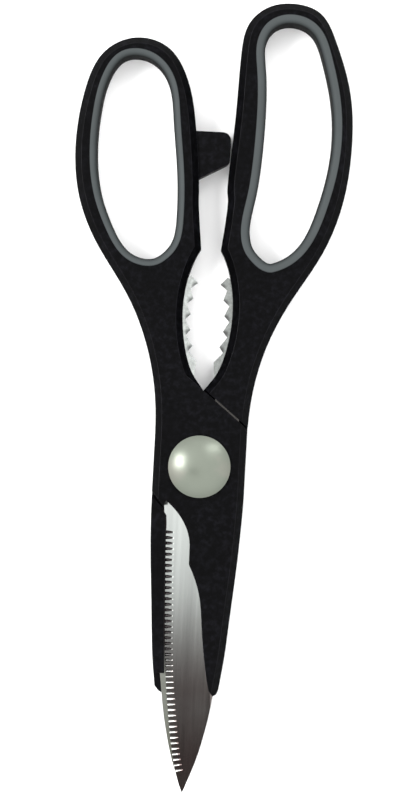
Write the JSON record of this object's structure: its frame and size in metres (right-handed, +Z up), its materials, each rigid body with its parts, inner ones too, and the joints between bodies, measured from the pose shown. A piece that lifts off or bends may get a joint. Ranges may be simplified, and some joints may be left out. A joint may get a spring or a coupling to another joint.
{
  "type": "poultry shears",
  "caption": "Poultry shears with black moulded handles, soft grey finger-loop liners, a nutcracker throat and a serrated front blade",
  "frame": {"origin": "where the pivot axis meets the surface that the shears lie on", "axes": "+Z up along the pivot axis through the cap, +Y towards the handles with the shears shut, -Y to the blade tips, +X to the tall loop's side"},
  "size_m": [0.0756, 0.2176, 0.0139],
  "materials": {
    "blade_steel": "lengthwise ground stainless steel",
    "handle_plastic": "fine grained black moulded plastic",
    "liner_rubber": "smooth grey soft rubber",
    "zinc_steel": "zinc plated",
    "carrier_plastic": "plain black plastic",
    "cap_metal": "satin nickel plated pressing"
  },
  "bodies": {
    "back_half": {"back_blade": "blade_steel", "back_handle": "handle_plastic", "back_grip_liner": "liner_rubber", "pivot_bolt": "zinc_steel", "head_washer": "zinc_steel", "flat_washer": "zinc_steel", "spring_washer": "zinc_steel", "pivot_nut": "zinc_steel"},
    "front_half": {"front_blade": "blade_steel", "front_handle": "handle_plastic", "front_grip_liner": "liner_rubber", "cap_carrier": "carrier_plastic", "pivot_cap": "cap_metal"}
  },
  "joints": [
    {"name": "pivot", "type": "hinge", "parent": "back_half", "child": "front_half", "pos_m": [0, 0, 0.0055], "axis": [0, 0, 1], "range_deg": [0, 60]}
  ]
}
